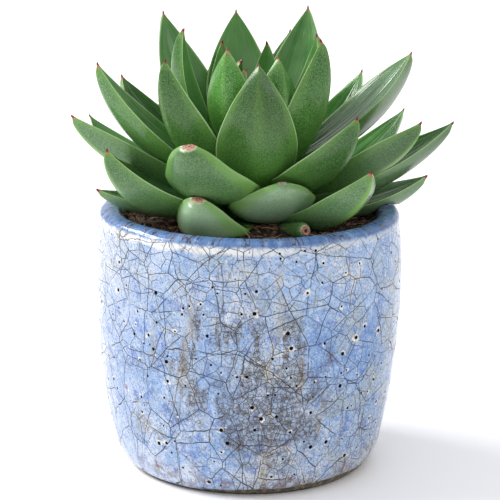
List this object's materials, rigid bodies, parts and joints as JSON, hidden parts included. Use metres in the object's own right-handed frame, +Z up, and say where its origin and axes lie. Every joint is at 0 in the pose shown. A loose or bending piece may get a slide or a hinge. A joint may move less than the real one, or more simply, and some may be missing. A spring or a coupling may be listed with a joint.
{
  "type": "potted echeveria",
  "caption": "Succulent rosette of thick pointed leaves growing from soil in a squat round pot with a blue crackle glaze.",
  "frame": {"origin": "centre of the pot's flat foot, on the surface that the pot stands on", "axes": "+Z up along the pot's axis, -Y towards the front, where the broad front leaf faces, +X to the right seen from the front"},
  "size_m": [0.1638, 0.1504, 0.1923],
  "materials": {
    "crackle_glaze": "gloss",
    "potting_soil": "matte",
    "waxy_leaf": "satin"
  },
  "bodies": {
    "root": {"pot": "crackle_glaze", "soil": "potting_soil", "rosette": "waxy_leaf"}
  },
  "joints": []
}
